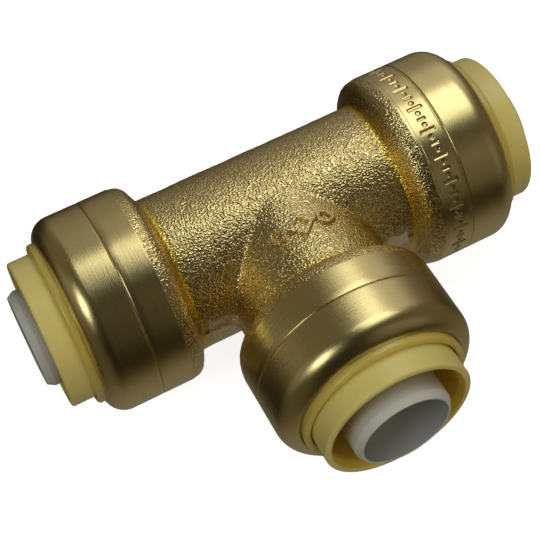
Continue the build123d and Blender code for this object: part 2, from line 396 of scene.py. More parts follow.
class Tree:
    """A node tree under construction."""

    def __init__(self, node_tree):
        self.node_tree = node_tree
        node_tree.nodes.clear()

    def node(self, kind, settings=None, sockets=None, output=None):
        """A node: its settings first, then its sockets' values or wires. Returns its first live output."""
        made = self.node_tree.nodes.new(kind)
        for key, value in (settings or {}).items():
            setattr(made, key, value)
        live = [socket for socket in made.inputs if socket.enabled]
        for key, value in (sockets or {}).items():
            socket = live[key] if isinstance(key, int) else next(s for s in live if s.name == key)
            if isinstance(value, Wire):
                self.node_tree.links.new(value.socket, socket)
            elif socket.type == "RGBA" and len(value) == 3:
                socket.default_value = (*value, 1.0)
            else:
                socket.default_value = value
        outputs = [socket for socket in made.outputs if socket.enabled]
        if not outputs:
            return made
        found = outputs[0] if output is None else next(s for s in outputs if s.name == output)
        return Wire(self, found)

    def mix(self, factor, first, second):
        """A colour between two: the first at factor 0, the second at 1."""
        settings = {"data_type": "RGBA"}
        return self.node("ShaderNodeMix", settings, {"Factor": factor, "A": first, "B": second})

    def scaled(self, vector, *scale):
        """A vector multiplied component by component."""
        return self.node("ShaderNodeVectorMath", {"operation": "MULTIPLY"}, {0: vector, 1: scale})

    def noise(self, vector, scale, detail=2.0, roughness=0.5):
        """Perlin noise from 0 to 1."""
        sockets = {"Vector": vector, "Scale": scale, "Detail": detail, "Roughness": roughness}
        return self.node("ShaderNodeTexNoise", None, sockets)

    def cells(self, vector, scale):
        """Smoothed distance to a Voronoi pattern's points."""
        settings = {"feature": "SMOOTH_F1"}
        return self.node("ShaderNodeTexVoronoi", settings, {"Vector": vector, "Scale": scale})

    def between(self, value, low, high):
        """Smooth step of a value from low to high."""
        sockets = {"Value": value, "From Min": low, "From Max": high}
        return self.node("ShaderNodeMapRange", {"interpolation_type": "SMOOTHSTEP"}, sockets)

    def field(self, name, output="Fac"):
        """A piece's own attribute."""
        return self.node("ShaderNodeAttribute", {"attribute_name": name}, None, output)

    def place(self):
        """Object coordinates, in metres."""
        return self.node("ShaderNodeTexCoord", None, None, "Object")

    def bump(self, height, distance):
        """A normal that leans with a height from 0 to 1, worth distance metres."""
        return self.node("ShaderNodeBump", None, {"Height": height, "Distance": distance})


class Finish(Tree):
    """A material with one Principled shader, whose plain values are set on its own sockets."""

    def __init__(self, name, **values):
        old = bpy.data.materials.get(name)
        if old is not None:
            bpy.data.materials.remove(old)
        self.material = bpy.data.materials.new(name)
        self.material.use_nodes = True
        super().__init__(self.material.node_tree)
        self.shader = self.node_tree.nodes.new("ShaderNodeBsdfPrincipled")
        output = self.node_tree.nodes.new("ShaderNodeOutputMaterial")
        self.node_tree.links.new(self.shader.outputs[0], output.inputs["Surface"])
        for socket, value in values.items():
            self.shader.inputs[socket.replace("_", " ")].default_value = value

    def wire(self, **sockets):
        """Links wires to the shader's sockets and returns the material."""
        for socket, wire in sockets.items():
            self.node_tree.links.new(wire.socket, self.shader.inputs[socket.replace("_", " ")])
        return self.material


# ---- Materials ----


def turned_look(tree, colours):
    """Colour, roughness and normal of turned brass: fine rings, slow stains and a few deeper lines."""
    turning = tree.field("turning", "Vector")
    rings = tree.noise(tree.scaled(turning, 2.5, 2.5, 11.0), 1.0, 3.0, 0.7)
    feed = tree.noise(tree.scaled(turning, 0.7, 0.7, 3.4), 1.0, 1.0)
    broad = tree.noise(tree.scaled(turning, 1.0, 1.0, 1.6), 1.0, 2.0)
    stain = tree.noise(tree.place(), 160.0, 3.0, 0.6)
    nick = tree.between(tree.noise(tree.scaled(turning, 22.0, 22.0, 1.2), 1.0, 2.0), 0.66, 0.78)
    streak = tree.between(rings * 0.4 + broad * 0.3 + stain * 0.4, 0.45, 0.85)
    tone = tree.mix(streak * 0.6, tuple(colours.brass), tuple(colours.brass_shade))
    # Painted shade: darker where the field "recess" is 1, which is in the rolled marks.
    tone = tree.mix(tree.field("recess") * 0.45, tone, tuple(colours.skin_pit))
    roughness = 0.18 + rings * 0.1 + stain * 0.1
    normal = tree.bump(rings * 0.8 + feed * 0.9 + nick * 0.6, 0.007 * MM)
    return tone, roughness, normal


def forged_look(tree, colours):
    """Colour, roughness and normal of blasted forged brass: an even sandy grain of bright beads on brown
    ground, with painted golden shade and reflected light in the grooves, crotches and round the cast marks,
    and paler and smoother where the flash was ground off."""
    place = tree.place()
    bead = 1 - tree.cells(place, 3000.0)
    grain = tree.noise(place, 3400.0, 0.5, 0.45)
    blotch = tree.noise(place, 300.0, 3.0, 0.55)
    recess = tree.field("recess")
    trim = tree.field("trim")
    height = bead * 0.55 + grain * 0.45
    crest = tree.between(height + blotch * 0.1, 0.59, 0.7)
    tone = tree.mix(crest, tuple(colours.skin_pit), tuple(colours.skin))
    # Painted shade with warm reflected light: the grooves, crotches and feet of the cast marks take the
    # golden colour.
    tone = tree.mix(recess * 0.85, tone, tuple(colours.skin_painted_shade))
    speck = tree.between(grain, 0.6, 0.72)
    ground = tree.mix(speck, tuple(colours.ground), tuple(colours.skin_pit))
    tone = tree.mix(trim * 0.9, tone, ground)
    roughness = 0.31 - crest * 0.12 + trim * 0.19
    normal = tree.bump(height * (1 - trim * 0.75), 0.23 * MM)
    return tone, roughness, normal


def brass_finish(name, colours, forged):
    """Brass: turned all over, or forged wherever the field "skin" is 1."""
    finish = Finish(name, Metallic=1.0)
    tone, roughness, normal = turned_look(finish, colours)
    if forged:
        skin = finish.field("skin")
        skin_tone, skin_roughness, skin_normal = forged_look(finish, colours)
        tone = finish.mix(skin, tone, skin_tone)
        roughness = roughness * (1 - skin) + skin_roughness * skin
        settings = {"data_type": "VECTOR"}
        sockets = {"Factor": skin, "A": normal, "B": skin_normal}
        normal = finish.node("ShaderNodeMix", settings, sockets)
        finish.wire(Metallic=1 - finish.field("trim") * 0.5)
    return finish.wire(Base_Color=tone, Roughness=roughness, Normal=normal)


def plastic_finish(name, rgb, depth, roughness, coat=0.0, glow=0.0, inside=None, deep=None):
    """Moulded plastic: faint flow clouds, fine mould texture and scuffs. depth is how much darker they are,
    glow its subsurface share, inside its colour of painted shade wherever the field "recess" is 1, and the
    last argument its colour of painted shade where the field of painted shade below the end is 1."""
    finish = Finish(name, Subsurface_Weight=glow, Subsurface_Scale=1.5 * MM, IOR=1.5, Coat_Weight=coat)
    finish.shader.inputs["Subsurface Radius"].default_value = (1.0, 0.8, 0.3)
    place = finish.place()
    cloud = finish.noise(place, 130.0, 3.0, 0.6)
    fine = finish.noise(place, 2600.0, 3.0, 0.6)
    scuff = finish.noise(finish.scaled(finish.field("turning", "Vector"), 3.0, 3.0, 1.2), 1.0, 4.0, 0.7)
    darker = tuple(channel * (1.0 - depth) for channel in rgb)
    tone = finish.mix(cloud * 0.6 + scuff * 0.5, tuple(rgb), darker)
    # Painted shade: a darker colour below the outer end, and another inside the bore.
    tone = finish.mix(finish.field("deep"), tone, tuple(deep or rgb))
    tone = finish.mix(finish.field("recess"), tone, tuple(inside or rgb))
    return finish.wire(
        Base_Color=tone,
        Roughness=roughness - 0.06 + cloud * 0.08 + scuff * 0.08,
        Normal=finish.bump(fine, 0.01 * MM),
    )


def rubber_finish(colours):
    """Black rubber, with a faint bloom and fine grain."""
    finish = Finish("seal rubber", IOR=1.5)
    place = finish.place()
    bloom = finish.noise(place, 500.0, 4.0, 0.6)
    tone = finish.mix(bloom, tuple(colours.rubber), tuple(3.0 * c for c in colours.rubber))
    normal = finish.bump(finish.noise(place, 5200.0, 2.0), 0.01 * MM)
    return finish.wire(Base_Color=tone, Roughness=0.45 + bloom * 0.25, Normal=normal)


def steel_finish(colours):
    """Rolled spring steel, brushed one way, with patches of heat tint."""
    finish = Finish("spring steel", Metallic=1.0)
    place = finish.place()
    brushed = finish.noise(finish.scaled(place, 300.0, 300.0, 9000.0), 1.0, 3.0, 0.6)
    tint = finish.noise(place, 260.0, 2.0)
    tone = finish.mix(tint * 0.6, tuple(colours.steel), (0.50, 0.44, 0.36))
    normal = finish.bump(brushed, 0.004 * MM)
    return finish.wire(Base_Color=tone, Roughness=0.24 + brushed * 0.18, Normal=normal)


# ---- The body ----


def crossing_necks(sizes, points):
    """Signed distances to the run's and the branch's neck, and the width of the blend between them.

    The run is a cylinder about X and the branch one about Y that only exists in front of the run's axis.
    The blend is widest in the crotches, at the height of the axes, and dies out at top and bottom,
    where the two cylinders touch. A web widens it at the parting plane. The branch's neck is thinner by
    its draft near the run, and has its full radius by the time it reaches its bell.
    """
    x, y, z = (points - CROSSING).T
    run = np.hypot(y, z) - sizes.neck
    draft = sizes.draft * (1.0 - smooth(-y, 7.0 * MM, 17.0 * MM))
    branch = np.hypot(x, z) - sizes.neck + draft + 2.0 * np.maximum(y, 0.0)
    steep = 1.0 - np.clip(z / sizes.neck, -1.0, 1.0) ** 2
    parting = smooth(-np.abs(z), -1.6 * sizes.flash_width, -0.4 * sizes.flash_width)
    width = np.maximum(sizes.saddle * steep + sizes.web * parting, 1e-6)
    return run, branch, width


def blended(run, branch, width):
    """Smooth minimum: min(run, branch) - h^2 * width / 4, with h = 1 - |run - branch| / width or 0."""
    h = np.maximum(1.0 - np.abs(run - branch) / width, 0.0)
    return np.minimum(run, branch) - h * h * width / 4.0, h


def settle(sizes, points, steps=6):
    """Moves points onto the blended necks by Newton steps: point - distance * gradient / |gradient|^2."""
    for _ in range(steps):
        run, branch, width = crossing_necks(sizes, points)
        distance, h = blended(run, branch, width)
        x, y, z = (points - CROSSING).T
        nothing = np.zeros_like(x)
        to_run = np.stack([nothing, y, z], 1) / np.maximum(np.hypot(y, z), 1e-9)[:, None]
        to_branch = np.stack([x, nothing, z], 1) / np.maximum(np.hypot(x, z), 1e-9)[:, None]
        weight = np.where(run < branch, 1.0 - h / 2.0, h / 2.0)[:, None]
        gradient = weight * to_run + (1.0 - weight) * to_branch
        points = points - distance[:, None] * gradient / (gradient**2).sum(1)[:, None]
    return points


MARGIN = 0.35 * MM


def sleeve_recess(sizes):
    """Corners of the shallow recess under the sleeve that carries the rolled marks."""
    floor = BELL_RADIUS - sizes.sleeve
    return [
        (BELL_RADIUS, MARGIN + 0.05 * MM - sizes.band, 0.0),
        (floor, MARGIN + 0.15 * MM - sizes.band, 0.0),
        (floor, -MARGIN - 0.15 * MM, 0.0),
        (BELL_RADIUS, -MARGIN - 0.05 * MM, 0.0),
    ]


def body_arm(port, sizes, columns, neck_rows):
    """One arm of the body: points and fields, from the outer mitre out to the spigot and back in.

    A row starts where this neck meets its neighbours: at a distance from the crossing of
    max(0, -y) for the run's arms and |x| for the branch, x and y being the neck's own points.
    """
    angle = turn(columns)
    bell_start = sizes.neck_end - 2.0 * sizes.neck_fillet
    across = np.abs(np.sin(angle)) if port is BRANCH else np.maximum(0.0, -np.sin(angle))

    def stretch(radius, end, share):
        """Rows between the mitre of a cylinder and an end offset, at shares of the way."""
        mitre = across * radius - port.reach
        return np.full_like(angle, radius) + 0.0 * share, mitre + (end - mitre) * share

    share = np.linspace(0.0, 1.0, neck_rows, endpoint=False)[None]
    neck = stretch(sizes.neck, bell_start, share)
    forged = outline(
        [
            (sizes.neck, bell_start, 0.0),
            (sizes.neck, sizes.neck_end, sizes.neck_fillet),
            (sizes.shoulder, sizes.shoulder_start, sizes.shoulder_rounding),
            (BELL_RADIUS, -sizes.band, 0.0),
            (BELL_RADIUS, MARGIN - sizes.band, 0.0),
        ],
        0.16 * MM,
        closed=False,
    )
    turned = outline(
        [
            *(sleeve_recess(sizes) if port is RIGHT else [(BELL_RADIUS, 2.0 * MARGIN - sizes.band, 0.0)]),
            (BELL_RADIUS, 0.0, sizes.seam_edge),
            (sizes.spigot, 0.0, 0.0),
            (sizes.spigot, sizes.spigot_length, 0.1 * MM),
            (sizes.mouth, sizes.spigot_length, 0.1 * MM),
            (sizes.mouth, sizes.mouth_bottom, 0.0),
            (sizes.seat, sizes.mouth_bottom, 0.0),
            (sizes.seat, sizes.seat_bottom, 0.0),
            (sizes.socket, sizes.seat_bottom, 0.0),
            (sizes.socket, sizes.socket_bottom, 0.0),
            (sizes.waterway, sizes.socket_bottom, 0.0),
        ],
        1.2 * MM,
        closed=False,
        arc_step=0.5,
    )
    bore = stretch(sizes.waterway, sizes.socket_bottom, np.linspace(0.9, 0.0, 8)[None])
    radius = np.hstack([neck[0], *(0 * angle + part.T[0] for part in (forged, turned)), bore[0]])
    offset = np.hstack([neck[1], *(0 * angle + part.T[1] for part in (forged, turned)), bore[1]])
    outside = np.arange(radius.shape[1])[None] + 0 * angle < neck_rows + len(forged)
    return {
        "points": port.place(radius, offset, angle).reshape(-1, 3),
        "turning": turning_field(angle, offset),
        "across": port.place(1.0, 0.0 * offset, angle).reshape(-1, 3) - port.seam_centre,
        "radius": radius.ravel(),
        "offset": offset.ravel(),
        "outside": outside.ravel(),
        "neck": (outside & (offset <= bell_start)).ravel(),
        "rows": radius.shape[1],
    }


def body_surface(sizes, columns=232, neck_rows=36):
    """Points, quads and fields of the whole body: three arms welded along their mitres, then worked.

    The necks settle onto their blend. The forged skin then moves along its normals by slow waves and
    pits, its flash stands proud at the parting plane, and the turned bands cut it off at their radius.
    """
    arms = [body_arm(port, sizes, columns, neck_rows) for port in PORTS]
    counts = np.cumsum([0] + [len(arm["points"]) for arm in arms])
    quads = np.concatenate(
        [
            grid_quads(columns, arm.pop("rows"), False, port.mirrored) + start
            for port, arm, start in zip(PORTS, arms, counts)
        ]
    )
    joined = {key: np.concatenate([arm[key] for arm in arms]) for key in arms[0]}
    grid = np.round(joined["points"] / (0.001 * MM)).astype(np.int64)
    _, first, owner = np.unique(grid, axis=0, return_index=True, return_inverse=True)
    quads = owner.ravel()[quads]
    joined = {key: values[first] for key, values in joined.items()}
    points, offset, radius = joined["points"], joined["offset"], joined["radius"]
    quads = facing_out(points, quads)

    neck = joined["neck"]
    points[neck] = settle(sizes, points[neck])
    run, branch, width = crossing_necks(sizes, points)
    crotch = np.where(neck, blended(run, branch, width)[1], 0.0)

    swell = sizes.swell * ripple(points, 6.0 * MM, 3) + sizes.pitting * ripple(points, 1.3 * MM, 5)
    height_above = points[:, 2] - CROSSING[2]
    on_neck = smooth(-offset, -sizes.neck_end + 0.2 * MM, -sizes.neck_end + 0.9 * MM)
    ridge = smooth(-np.abs(height_above), -0.62 * sizes.flash_width, -0.4 * sizes.flash_width)
    lift = swell + sizes.flash * ridge * on_neck

    growing = np.maximum(offset + sizes.band, 0.0) * 0.18
    rising = radius + np.where(joined["outside"], growing, 0.0) + 0.4 * swell
    skin_depth = BELL_RADIUS - rising
    shoulder = joined["outside"] & ~neck
    forged = np.where(joined["outside"], np.where(neck, 1.0, np.clip(skin_depth / (0.02 * MM), 0, 1)), 0.0)

    normal = normals(points, quads)
    moved = points + normal * lift[:, None]
    trimmed = points + joined["across"] * np.minimum(rising - radius, BELL_RADIUS - radius)[:, None]
    near_band = smooth(offset, -sizes.band - 1.9 * MM, -sizes.band - 0.7 * MM)[:, None]
    worked = moved * (1 - near_band) + trimmed * near_band
    points = np.where(neck[:, None], moved, np.where(shoulder[:, None], worked, points))
    # Painted shade with warm reflected light in the groove where neck meets bell, and a little in the
    # crotches.
    groove_shade = np.exp(-(((offset - sizes.neck_end + 0.2 * MM) / (0.75 * MM)) ** 2))
    recess = np.clip(np.where(joined["outside"], groove_shade, 0.0) + 0.12 * crotch, 0.0, 1.0)
    # The flash was ground off in the two crotches, more in the right one.
    patch = 2.0 * MM + 0.35 * MM * ripple(points, 3.0 * MM, 7)
    x, y = np.abs(points - CROSSING).T[:2]
    corner = smooth(np.minimum(x, y), 9.5 * MM, 11.5 * MM) * (points[:, 1] < CROSSING[1]) * neck
    share = np.where(points[:, 0] < CROSSING[0], 0.45, 1.0)
    trim = smooth(patch - np.abs(height_above), -0.3 * MM, 0.3 * MM) * corner * share
    return points, quads, {"turning": joined["turning"], "skin": forged, "recess": recess, "trim": trim}


def cast_mark_surface(sizes, step=0.08 * MM):
    """A patch of the branch neck with a diamond between two rings, all but the marks sunk in the neck.

    Its height over the neck is a smooth step of half a stroke less the distance from the nearest outline,
    which is (size - |x| - |y|) / sqrt(2) for the diamond and size - hypot(x, y) for a ring.
    """
    middle = np.array([0.4 * MM, -11.2 * MM])
    half = np.array([sizes.mark_pitch + sizes.mark_size + 0.4 * MM, sizes.mark_size + 1.1 * MM])
    counts = np.ceil(2.0 * half / step).astype(int)
    x, y = np.meshgrid(*(np.linspace(-h, h, count) for h, count in zip(half, counts)), indexing="ij")
    stroke = sizes.mark_stroke / 2.0
    diamond = stroke - np.abs(sizes.mark_size - np.abs(x) - np.abs(y)) / math.sqrt(2.0)
    ring = stroke - np.abs(0.6 * sizes.mark_size - np.hypot(np.abs(x) - sizes.mark_pitch, y))
    inside = np.maximum(diamond, ring)
    sunk = 0.15 * MM
    height = (sizes.mark + sunk) * smooth(inside, -0.1 * MM, 0.2 * MM) - sunk
    x, y = x + middle[0], y + middle[1]
    draft = sizes.draft * (1.0 - smooth(-y, 7.0 * MM, 17.0 * MM))
    neck = np.sqrt((sizes.neck - draft) ** 2 - x**2)
    top = np.stack([x, y, neck + height], -1).reshape(-1, 3)
    bottom = np.stack([x, y, neck - 3.0 * sunk], -1).reshape(-1, 3)
    index = np.arange(x.size).reshape(x.shape)
    edge = np.concatenate([index[:-1, 0], index[-1, :-1], index[:0:-1, -1], index[0, :0:-1]])
    face = np.stack([index[:-1, :-1], index[1:, :-1], index[1:, 1:], index[:-1, 1:]], -1).reshape(-1, 4)
    side = np.stack([edge, edge + x.size, np.roll(edge, -1) + x.size, np.roll(edge, -1)], -1)
    points = np.concatenate([top, bottom]) + CROSSING
    fields = {
        "turning": np.zeros_like(points),
        "skin": np.ones(len(points)),
        # Painted shade round the feet of the marks, none on their tops.
        "recess": np.tile(0.45 - 0.45 * smooth(inside, 0.0, 0.15 * MM).ravel(), 2),
        "trim": np.tile(0.16 * smooth(inside, 0.0, 0.2 * MM).ravel(), 2),
    }
    return points, np.concatenate([face, face[:, ::-1] + x.size, side]), fields


def rolled_depth(sizes, angle, offset):
    """Depth of the rolled marks: long ticks, short ticks and dots in turn, round the band's middle.

    Along the band, the distance from a mark's centre is the remainder of radius * angle by its pitch.
    """
    middle = offset + sizes.band / 2.0
    pitch = 2.0 * np.pi * BELL_RADIUS / 24.0
    along = BELL_RADIUS * angle

    def from_mark(share):
        return np.abs((along - share * pitch) % pitch - pitch / 2.0)

    def bar(share, height, width):
        return np.minimum(width / 2.0 - from_mark(share), height / 2.0 - np.abs(middle))

    long_tick = bar(0.0, sizes.roll_height, 0.6 * MM)
    short_tick = bar(0.5, 0.55 * sizes.roll_height, 0.5 * MM)
    dots = [0.42 * MM - np.hypot(from_mark(share), middle) for share in (0.25, 0.75)]
    inside = np.maximum.reduce([long_tick, short_tick, *dots])
    return sizes.roll_depth * smooth(inside, -0.1 * MM, 0.14 * MM)


def rolled_sleeve(sizes, columns=1080):
    """The turned sleeve round the right bell's band, with the rolled marks sunk in it."""
    start, end = MARGIN + 0.03 * MM - sizes.band, -MARGIN - 0.03 * MM
    rows = np.concatenate([np.linspace(start, end, 46), [end, start]])
    radius = np.full_like(rows, BELL_RADIUS)
    radius[-2:] = BELL_RADIUS - 1.6 * sizes.sleeve
    outer = radius == BELL_RADIUS
    profile = np.stack([radius, rows], 1)

    def marks(angle, radius, offset):
        return -rolled_depth(sizes, angle, offset) * outer

    points, quads, fields = lathe(RIGHT, profile, columns, marks)
    depth = rolled_depth(sizes, turn(columns), rows[None]) / sizes.roll_depth
    fields["skin"] = np.zeros(len(points))
    # Painted shade: the rolled marks are darker by their depth.
    fields["recess"] = (depth * outer).ravel()
    return points, quads, fields


# ---- The pieces in a port ----


COLUMNS = 288


def cap_profile(port, body, sizes):
    """End cap: skirt, shoulder and lip. The shoulder's arc is tangent to the skirt and ends at the lip."""
    depth = port.bell_radius - sizes.lip
    rise = port.cap_length - sizes.cap_straight
    tangent = (depth**2 + rise**2) / (2.0 * rise)
    shoulder = (depth**2 + rise**2) / (2.0 * depth)
    return outline(
        [
            (sizes.lip, port.cap_length, 1.2 * EDGE),
            (sizes.lip, sizes.lip_bottom),
            (body.spigot, sizes.lip_bottom - (body.spigot - sizes.lip)),
            (body.spigot, 0.0),
            (port.bell_radius, 0.0, body.seam_edge),
            (port.bell_radius, sizes.cap_straight + tangent, 0.94 * shoulder),
        ],
        0.25 * MM,
        arc_step=0.05,
    )


def retainer_profile(port, body, sizes):
    """Retainer ring: a skirt in the body's mouth, a flange under the cap and a bead outside it."""
    skirt = body.mouth - 0.1 * MM
    bead_start, pocket_top, pocket_bottom = 6.5 * MM, 6.4 * MM, 3.1 * MM
    flange_top = bead_start - (sizes.retainer_flange - sizes.bead)
    end = port.end_of("retainer_ring")
    pocket, bead_rounding = 13.75 * MM, 0.57 * MM
    return outline(
        [
            (sizes.retainer_bore, body.mouth_bottom),
            (skirt, body.mouth_bottom),
            (skirt, body.spigot_length),
            (sizes.retainer_flange, body.spigot_length),
            (sizes.retainer_flange, flange_top),
            (sizes.bead, bead_start),
            (sizes.bead, end, bead_rounding),
            (sizes.bead_inside, end, bead_rounding),
            (sizes.bead_inside, pocket_top),
            (pocket, pocket_top),
            (pocket, pocket_bottom),
            (sizes.retainer_bore, pocket_bottom),
        ],
        0.4 * MM,
        arc_step=0.25,
    )


def collar_profile(port, body, sizes):
    """Release collar: a tapered nose, a flange that keeps it in, and a rounded end round the mouth."""
    end = port.end_of("release_collar")
    nose_start, nose_full, flange_bottom, flange_top = (s * MM for s in (1.7, 3.4, 5.3, 6.3))
    return outline(
        [
            (sizes.collar_bore, nose_start),
            (sizes.nose_tip, nose_start),
            (sizes.nose, nose_full),
            (sizes.nose, flange_bottom),
            (sizes.collar_flange, flange_bottom),
            (sizes.collar_flange, flange_top),
            (sizes.collar, flange_top),
            (sizes.collar, end, 0.5 * MM),
            (sizes.collar_mouth, end, 1.5 * EDGE),
            (sizes.collar_bore, end - 1.5 * MM, 0.8 * MM),
        ],
        0.4 * MM,
        arc_step=0.2,
    )


def liner_profile(port, body, sizes):
    """Tube liner: a flange at the bottom of the socket and a bevelled tip."""
    end = port.end_of("tube_liner")
    flange = bevel = 1.2 * MM
    return outline(
        [
            (sizes.liner_bore, body.socket_bottom),
            (body.socket, body.socket_bottom),
            (body.socket, body.socket_bottom + flange),
            (sizes.liner, body.socket_bottom + flange),
            (sizes.liner, end - bevel, 0.7 * EDGE),
            (sizes.liner_tip, end, 0.7 * EDGE),
            (sizes.liner_bore, end),
        ],
        0.6 * MM,
        arc_step=0.2,
    )


def make_rings(kind, profile, finish, moving=False, columns=COLUMNS, inner=0.0):
    """Makes one ring in each port that replaces the frame's node of the same kind.

    The field "recess", for painted shade inside the bore, is 1 where its surface is nearer to the axis than
    the radius inner, and the field of painted shade below the end grows to 1 from 1.1 to 4.5 mm below its
    outer end.
    """
    scene = bpy.context.scene
    for port in PORTS:
        outline_points = profile(port, scene.tee_body, scene.tee_port)
        points, quads, fields = lathe(port, outline_points, columns)
        # Masks of painted shade: inside the bore, and below the outer end.
        recess = smooth(inner - outline_points[:, 0], -0.05 * MM, 0.15 * MM)
        deep = smooth(outline_points[:, 1].max() - outline_points[:, 1], 1.1 * MM, 4.5 * MM)
        fields["recess"] = np.tile(recess, columns)
        fields["deep"] = np.tile(deep, columns)
        piece = make_piece(f"{port.name}_{kind}_finished", points, quads, fields, finish)
        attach(piece, f"{port.name}_collar" if moving else "fitting")
        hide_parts(f"{port.name}_{kind}")


def grab_ring_surface(port, body, sizes, teeth=16, around=16, rows=12):
    """Grab ring: a flat rim, and closed teeth that lean inwards from it.

    A tooth's section is a superellipse of power 4: cos and sin of the turn, each to the power 1/2 with
    its sign. It is as wide as its share of the ring less half a gap on each side, and its middle runs
    straight from the rim down to the tip.
    """
    half = sizes.grab_thickness / 2.0
    middle = body.mouth_bottom - half
    rim_outside = body.seat - 0.1 * MM
    corners = [(sizes.grab_rim, -half), (rim_outside, -half), (rim_outside, half), (sizes.grab_rim, half)]
    profile = outline([(radius, middle + lift, 0.08 * MM) for radius, lift in corners], 0.4 * MM)
    rim, rim_quads, _ = lathe(port, profile, COLUMNS)

    angle = (np.arange(around) + 0.5) * 2.0 * np.pi / around
    across, lift = (np.sign(wave) * np.sqrt(np.abs(wave)) for wave in (np.cos(angle), np.sin(angle)))
    radius = np.linspace(sizes.grab_rim + 0.2 * MM, sizes.tooth, rows)
    fallen = sizes.tooth_drop * np.clip((sizes.grab_rim - radius) / (sizes.grab_rim - sizes.tooth), 0, 1)
    spread = np.pi / teeth - sizes.tooth_gap / 2.0 / radius
    aim = np.arange(teeth)[:, None, None] * 2.0 * np.pi / teeth + across[:, None] * spread
    points = port.place(radius + 0.0 * aim, middle - fallen + half * lift[:, None] + 0.0 * aim, aim)
    points = points.reshape(-1, 3)

    index = np.arange(around * rows).reshape(around, rows)
    left, right = np.arange(around // 2 - 1), around - 1 - np.arange(around // 2 - 1)
    root = np.stack([index[left, 0], index[right, 0], index[right - 1, 0], index[left + 1, 0]], 1)
    tip = np.stack([index[left, -1], index[left + 1, -1], index[right - 1, -1], index[right, -1]], 1)
    tooth = np.concatenate([grid_quads(around, rows, False), root[:, ::-1], tip[:, ::-1]])
    tooth = facing_out(points[: index.size], tooth)
    quads = (tooth[None] + (np.arange(teeth) * index.size)[:, None, None]).reshape(-1, 4)
    return np.concatenate([rim, points]), np.concatenate([facing_out(rim, rim_quads), quads + len(rim)])


# ---- Operators ----


class TEE_OT_forged_body(bpy.types.Operator):
    """Make the forged body, with its turned bands, bores and flash"""

    bl_idname = "tee.forged_body"
    bl_label = "Forged body"

    def execute(self, context):
        points, quads, fields = body_surface(context.scene.tee_body)
        finish = brass_finish("forged brass", context.scene.tee_finish, forged=True)
        piece = make_piece("forged_body", points, quads, fields, finish, closed=False)
        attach(piece, "fitting")
        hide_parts("body")
        return {"FINISHED"}


class TEE_OT_marks(bpy.types.Operator):
    """Make the cast marks on the branch neck and the rolled marks round the right bell"""

    bl_idname = "tee.marks"
    bl_label = "Cast and rolled marks"

    def execute(self, context):
        finish = bpy.data.materials.get("forged brass")
        if finish is None:
            raise RuntimeError("make the forged body first: the marks share its brass")
        sizes = context.scene.tee_body
        for name, surface in (("cast_marks", cast_mark_surface), ("rolled_marks", rolled_sleeve)):
            points, quads, fields = surface(sizes)
            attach(make_piece(name, points, quads, fields, finish), "fitting")
        return {"FINISHED"}


class TEE_OT_end_caps(bpy.types.Operator):
    """Make the three turned end caps"""

    bl_idname = "tee.end_caps"
    bl_label = "End caps"

    def execute(self, context):
        finish = brass_finish("turned brass", context.scene.tee_finish, forged=False)
        make_rings("end_cap", cap_profile, finish, columns=360)
        return {"FINISHED"}


class TEE_OT_retainer_rings(bpy.types.Operator):
    """Make the three retainer rings"""

    bl_idname = "tee.retainer_rings"
    bl_label = "Retainer rings"

    def execute(self, context):
        colours = context.scene.tee_finish
        finish = plastic_finish("retainer plastic", colours.retainer, 0.2, 0.24, coat=0.3, glow=0.5)
        make_rings("retainer_ring", retainer_profile, finish)
        return {"FINISHED"}


class TEE_OT_release_collars(bpy.types.Operator):
    """Make the three sliding release collars"""

    bl_idname = "tee.release_collars"
    bl_label = "Release collars"

    def execute(self, context):
        colours = context.scene.tee_finish
        # Painted shade and bounced amber light inside the collars' bores.
        painted_shades = {"inside": colours.collar_bore_tint}
        finish = plastic_finish("collar plastic", colours.collar, 0.1, 0.32, glow=0.5, **painted_shades)
        inner = context.scene.tee_port.collar_mouth
        make_rings("release_collar", collar_profile, finish, moving=True, inner=inner)
        return {"FINISHED"}


class TEE_OT_tube_liners(bpy.types.Operator):
    """Make the three tube liners"""

    bl_idname = "tee.tube_liners"
    bl_label = "Tube liners"

    def execute(self, context):
        colours = context.scene.tee_finish
        # Painted shade inside the liners' bores and below their tips.
        painted_shades = {"inside": colours.liner_bore_shade, "deep": colours.liner_shade_below_tip}
        finish = plastic_finish("liner plastic", colours.liner, 0.1, 0.42, glow=0.1, **painted_shades)
        inner = context.scene.tee_port.liner_bore + 0.1 * MM
        make_rings("tube_liner", liner_profile, finish, inner=inner)
        return {"FINISHED"}


class TEE_OT_grab_rings(bpy.types.Operator):
    """Make the three toothed grab rings"""

    bl_idname = "tee.grab_rings"
    bl_label = "Grab rings"

    def execute(self, context):
        body, sizes = context.scene.tee_body, context.scene.tee_port
        finish = steel_finish(context.scene.tee_finish)
        for port in PORTS:
            points, quads = grab_ring_surface(port, body, sizes)
            name = f"{port.name}_grab_ring_finished"
            piece = make_piece(name, points, quads, {}, finish, closed=False)
            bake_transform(piece)
            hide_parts(f"{port.name}_grab_ring")
        return {"FINISHED"}


class TEE_OT_inner_parts(bpy.types.Operator):
    """Give the seals and their protectors their materials"""

    bl_idname = "tee.inner_parts"
    bl_label = "Inner parts"

    def execute(self, context):
        colours = context.scene.tee_finish
        finishes = {
            "o_ring": rubber_finish(colours),
            "o_ring_protector": plastic_finish("protector plastic", colours.protector, 0.3, 0.5),
        }
        for port in PORTS:
            for kind, finish in finishes.items():
                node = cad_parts[f"{port.name}_{kind}"]
                node.data.materials.clear()
                node.data.materials.append(finish)
        return {"FINISHED"}


class TEE_OT_stage(bpy.types.Operator):
    """Make the floor, the lights, the surroundings and the camera"""

    bl_idname = "tee.stage"
    bl_label = "Stage"

    def execute(self, context):
        settings = context.scene.tee_stage
        make_floor(settings)
        make_lights()
        make_surroundings(context.scene)
        make_camera(context.scene, settings)
        return {"FINISHED"}


# ---- The stage ----


